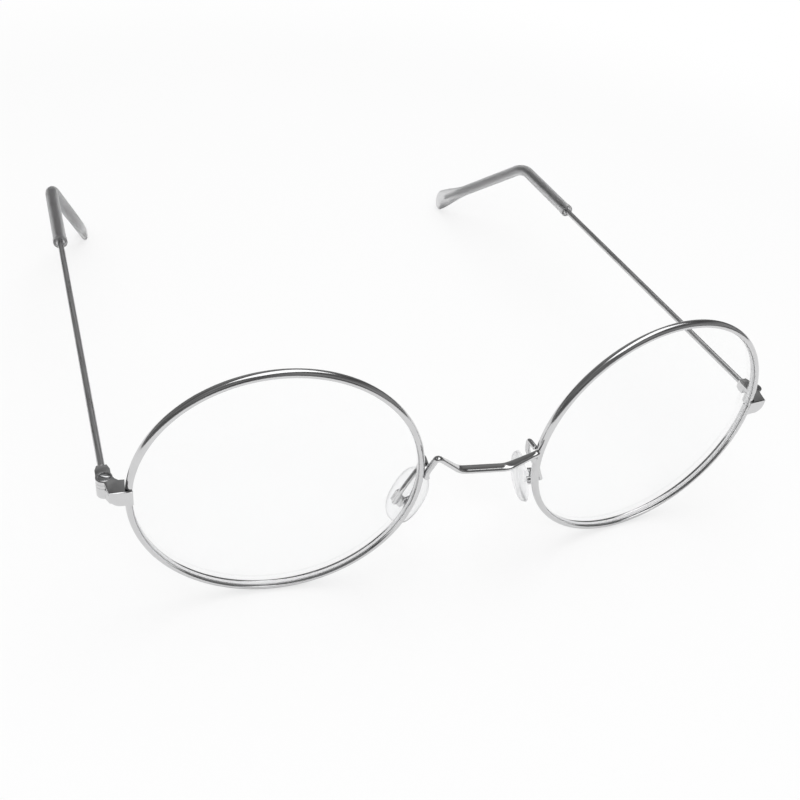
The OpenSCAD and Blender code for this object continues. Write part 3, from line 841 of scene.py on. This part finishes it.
arm = {
    "diameter": 1.0,
    "up": 2.5,
    "back": 1.8,
    "elbow": (0.4, 0.1, -3.0),  # the way from the top corner to the next bend
    "corner": 0.9,
    "cornerSteps": 10,
    "foot": 0.2,
    "startBack": 0.25,
    "startBraze": 0.14,
    "boxBraze": 0.08,
    "boxHeight": 2.2,
    "boxBack": 1.35,
    "aboveBox": 1.5,
    "wide": (1, -0.3, 0),
    "sides": 20,
}
pad = {
    "height": 13.0,
    "width": 7.0,
    "thickness": 2.2,
    "edge": 1.0,
    "base": 1.3,
    "flare": 22.0,
    "splay": 28.0,
    "bossRadius": 0.8,
    "bossWidth": 1.6,
    "bossSteps": 16,
    "bore": 0.44,
    "boreSides": 32,
    "outlinePower": 0.86,
    "middle": 0.02,  # share of the outline at the middle of the back and of the face
    "domeFoot": 0.965,
    "domeSteps": 10,
    "sides": 72,
}
# Share of the outline and distance from the back for each ring of the rim
padRim = [(0.5, 0), (0.86, 0.02), (0.95, 0.1), (0.99, 0.26), (1.0, 0.48), (0.995, 0.7), (0.975, 0.86)]


def padPoint(point, side):
    return mirrored(padAt + turnY(turnZ(point, -pad["splay"]), -pad["flare"]), side)


def makePadArm(side):
    half = arm["diameter"] / 2
    angle = math.asin(arm["up"] / ringRadius)
    radius = ringOut + half - arm["startBraze"]
    u, z = -radius * math.cos(angle), radius * math.sin(angle)
    corner = ringPoint(left, u, flank + arm["back"], z)
    reach = arm["boxBack"] + half - arm["boxBraze"]
    points = [
        ringPoint(left, u, arm["startBack"], z),
        corner,
        corner + Vector(arm["elbow"]),
        padPoint((reach, 0, arm["boxHeight"] / 2 + arm["aboveBox"]), left),
        padPoint((reach, 0, arm["foot"] - arm["boxHeight"] / 2), left),
    ]
    path = roundedPath(points, arm["corner"], arm["cornerSteps"])
    rings = []
    for i, point in enumerate(path):
        ring = sectionRing(point, heading(path, i), arm["wide"], half, half, 1.0, arm["sides"])
        rings.append([mirrored(p, side) for p in ring])
    mesh = bmesh.new()
    skinRings(mesh, rings)
    name = sideNames[side] + "_pad_arm"
    piece = finishPiece(mesh, name + "_wire", fittingMetal, "front")
    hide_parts(name)


for side in (left, right):
    makePadArm(side)
print("pad arms made")


# Nose pads: a soft oval with a domed face and a boss on its back

def padOutline(scale, x):
    ring = []
    for i in range(pad["sides"]):
        a = 2 * math.pi * i / pad["sides"]
        y = pad["width"] / 2 * scale * bent(math.cos(a), pad["outlinePower"])
        z = pad["height"] / 2 * scale * bent(math.sin(a), pad["outlinePower"])
        ring.append(Vector((x, y, z)))
    return ring


def makeNosePad(side, material):
    back, front = -pad["base"], -pad["base"] - pad["thickness"]
    rimFront = back - pad["edge"]
    profile = [(pad["middle"], back)] + [(share, back - distance) for share, distance in padRim]
    for k in range(1, pad["domeSteps"]):
        a = math.radians(90 * k / pad["domeSteps"])
        profile.append((pad["domeFoot"] * math.cos(a), rimFront + (front - rimFront) * math.sin(a)))
    profile.append((pad["middle"], front))
    mesh = bmesh.new()
    skinRings(mesh, [[padPoint(p, side) for p in padOutline(scale, x)] for scale, x in profile])
    name = sideNames[side] + "_nose_pad"
    piece = finishPiece(mesh, name + "_soft", material, sideNames[side] + "_pad")
    addBoss(piece, side)
    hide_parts(name)


# The boss is joined to the pad and bored for its screw
def addBoss(piece, side):
    radius, half = pad["bossRadius"], pad["bossWidth"] / 2
    depth = pad["base"] + pad["edge"] / 2
    outline = arc(0, 0, radius, -90, 90, pad["bossSteps"]) + [(-depth, radius), (-depth, -radius)]
    boss = solidAlongScrew("boss", outline, half, side)
    bore = solidAlongScrew("bore", circle(pad["bore"], pad["boreSides"]), half * 2, side)
    for other, operation in ((boss, "UNION"), (bore, "DIFFERENCE")):
        modifier = piece.modifiers.new(operation.lower(), "BOOLEAN")
        modifier.operation = operation
        modifier.object = other
        modifier.solver = "EXACT"
    bpy.context.view_layer.update()
    shaped = bpy.data.meshes.new_from_object(piece.evaluated_get(bpy.context.evaluated_depsgraph_get()))
    piece.modifiers.clear()
    piece.data = shaped
    for other in (boss, bore):
        bpy.data.objects.remove(other)


def solidAlongScrew(name, outline, half, side):
    mesh = bmesh.new()
    skinRings(mesh, [[padPoint((x, y, z), side) for x, z in outline] for y in (-half, half)])
    bmesh.ops.recalc_face_normals(mesh, faces=mesh.faces)
    return addMesh(name, mesh)


padMaterial = clearPlastic("pad_plastic", padPlastic)
for side in (left, right):
    makeNosePad(side, padMaterial)
print("nose pads made")


# Fittings that keep their CAD shape get broken edges, in these widths, and their finish

fittings = {"endpiece": 0.16, "closing_block": 0.08, "temple_leaf": 0.2, "pad_box": 0.06}
screws = {"closing_screw": 0.04, "hinge_screw": 0.06, "pad_screw": 0.04}
brokenEdge = {"weld": 0.002, "segments": 3, "sharpAngle": 50}


def dress(nodeName, material, width):
    node = frame["nodes"][nodeName]
    node.data.materials.clear()
    node.data.materials.append(material)
    weld = node.modifiers.new("weld", "WELD")
    weld.merge_threshold = brokenEdge["weld"] * mm
    bevel = node.modifiers.new("brokenEdges", "BEVEL")
    bevel.width = width * mm
    bevel.segments = brokenEdge["segments"]
    bevel.limit_method = "ANGLE"
    bevel.angle_limit = math.radians(brokenEdge["sharpAngle"])
    bevel.harden_normals = True
    for face in node.data.polygons:
        face.use_smooth = True


screwMaterial = screwSteel("screw_steel")
for side in (left, right):
    for part, width in fittings.items():
        dress(f"{sideNames[side]}_{part}", fittingMetal, width)
    for part, width in screws.items():
        dress(f"{sideNames[side]}_{part}", screwMaterial, width)
print("fittings dressed")


# Floor, world, lamps and camera, in metres

studio = {
    "floorRadius": 0.32,
    "floorSides": 96,
    "floorFade": 0.14,  # how far inside its edge the floor starts to turn to plain white
    "floorRim": 0.97,  # share of its radius where the floor is plain white
    "floorGrey": 0.86,
    "floorPatches": 9.0,
    "floorUneven": 0.02,
    "floorGlow": 0.62,  # share of plain white where the camera sees the floor
    "ambient": 0.66,
    "roomScale": 1.7,
    "roomStops": [(0.35, 0.07), (0.68, 0.27)],  # place and grey of its dark and its light
}


def makeFloor():
    mesh = bmesh.new()
    rim = circle(studio["floorRadius"], studio["floorSides"])
    mesh.faces.new([mesh.verts.new((x, y, 0)) for x, y in rim])
    floor = addMesh("floor", mesh)
    material, shop, position = newMaterial("pale_floor")
    patches = shop.noise(position, studio["floorPatches"], 2.0)
    tone = studio["floorGrey"] + (patches - 0.5) * studio["floorUneven"]
    matte = shop.node("ShaderNodeBsdfDiffuse", {}, {"Color": tone})
    glow = shop.node("ShaderNodeEmission", {}, {"Color": white, "Strength": 1.0})
    seen = shop.node("ShaderNodeLightPath", {}, {}, "Is Camera Ray")
    through = shop.node("ShaderNodeLightPath", {}, {}, "Is Transmission Ray")
    fromMiddle = shop.vector("LENGTH", {0: position}, 1)
    inner = studio["floorRadius"] - studio["floorFade"]
    outer = studio["floorRadius"] * studio["floorRim"]
    limits = {"Value": fromMiddle, 1: inner, 2: outer, 3: studio["floorGlow"], 4: 1.0}
    fade = shop.node("ShaderNodeMapRange", {"interpolation_type": "SMOOTHSTEP"}, limits)
    share = seen.larger(through) * fade
    connectSurface(shop, shop.node("ShaderNodeMixShader", {}, {0: share, 1: matte, 2: glow}))
    floor.data.materials.append(material)


# White behind the object, plain light on it, and a dim room in its polish
def makeWorld():
    world = bpy.data.worlds.new("studio")
    bpy.context.scene.world = world
    world.use_nodes = True
    shop = Shop(world.node_tree)
    direction = shop.node("ShaderNodeTexCoord", {}, {}, "Generated")
    shades = shop.noise(direction, studio["roomScale"], 2.0)
    room = shop.node("ShaderNodeValToRGB", {"stops": studio["roomStops"]}, {0: shades})
    glossy = shop.node("ShaderNodeLightPath", {}, {}, "Glossy Depth") > 0.5
    scattered = shop.node("ShaderNodeLightPath", {}, {}, "Is Diffuse Ray")
    ambient = (studio["ambient"],) * 3 + (1,)
    colour = shop.mix(scattered, shop.mix(glossy, white, room), ambient)
    background = shop.node("ShaderNodeBackground", {}, {"Color": colour, "Strength": 1.0})
    shop.node("ShaderNodeOutputWorld", {}, {"Surface": background})


# Place, size in metres and power in watts of each soft lamp, and whether polish mirrors it
lamps = {
    "overheadLamp": {"at": (0.06, 0.05, 0.9), "size": (0.6, 1.15), "power": 3.4, "mirrored": True},
    "frontLamp": {"at": (-0.15, -0.75, 0.75), "size": (0.7, 0.35), "power": 2.2, "mirrored": False},
}
lampAim = (0, 0, 0.02)


def makeLamp(name, lamp):
    data = bpy.data.lights.new(name, "AREA")
    data.shape = "RECTANGLE"
    data.size, data.size_y = lamp["size"]
    data.energy = lamp["power"]
    lampObject = addObject(name, data)
    lampObject.visible_glossy = lamp["mirrored"]
    lampObject.location = lamp["at"]
    lampObject.rotation_mode = "QUATERNION"
    lampObject.rotation_quaternion = (Vector(lampAim) - Vector(lamp["at"])).to_track_quat("-Z", "Y")


# The photograph's viewing angle, in degrees and in millimetres of the front's frame
photoCamera = {
    "azimuth": -24.57,
    "elevation": 39.02,
    "roll": 8.47,
    "distance": 183.42,
    "aim": (-17.05, 0, 16.85),
    "focal": 1057.78,  # in pixels of a frame 800 pixels wide
    "frame": 800,
    "sensor": 36.0,
    "clipStart": 10.0,
}


def makeCamera():
    angles = (photoCamera[key] for key in ("azimuth", "elevation", "roll"))
    azimuth, elevation, roll = map(math.radians, angles)
    level = math.cos(elevation)
    backward = Vector((math.sin(azimuth) * level, -math.cos(azimuth) * level, math.sin(elevation)))
    sideways = (-backward).cross(Vector((0, 0, 1))).normalized()
    upward = sideways.cross(-backward)
    rolledX = sideways * math.cos(roll) + upward * math.sin(roll)
    rolledY = upward * math.cos(roll) - sideways * math.sin(roll)
    axes = Matrix((rolledX, rolledY, backward)).transposed()
    data = bpy.data.cameras.new("photoCamera")
    data.sensor_width = photoCamera["sensor"]
    data.lens = photoCamera["focal"] / photoCamera["frame"] * photoCamera["sensor"]
    data.clip_start = photoCamera["clipStart"] * mm
    camera = addObject("photoCamera", data)
    at = Vector(photoCamera["aim"]) + backward * photoCamera["distance"]
    camera.matrix_world = Matrix.Translation(place(at)) @ (frontTurn @ axes).to_4x4()
    bpy.context.scene.camera = camera


makeFloor()
makeWorld()
for name, lamp in lamps.items():
    makeLamp(name, lamp)
makeCamera()
bpy.context.scene.view_settings.view_transform = "Standard"
print("studio made")
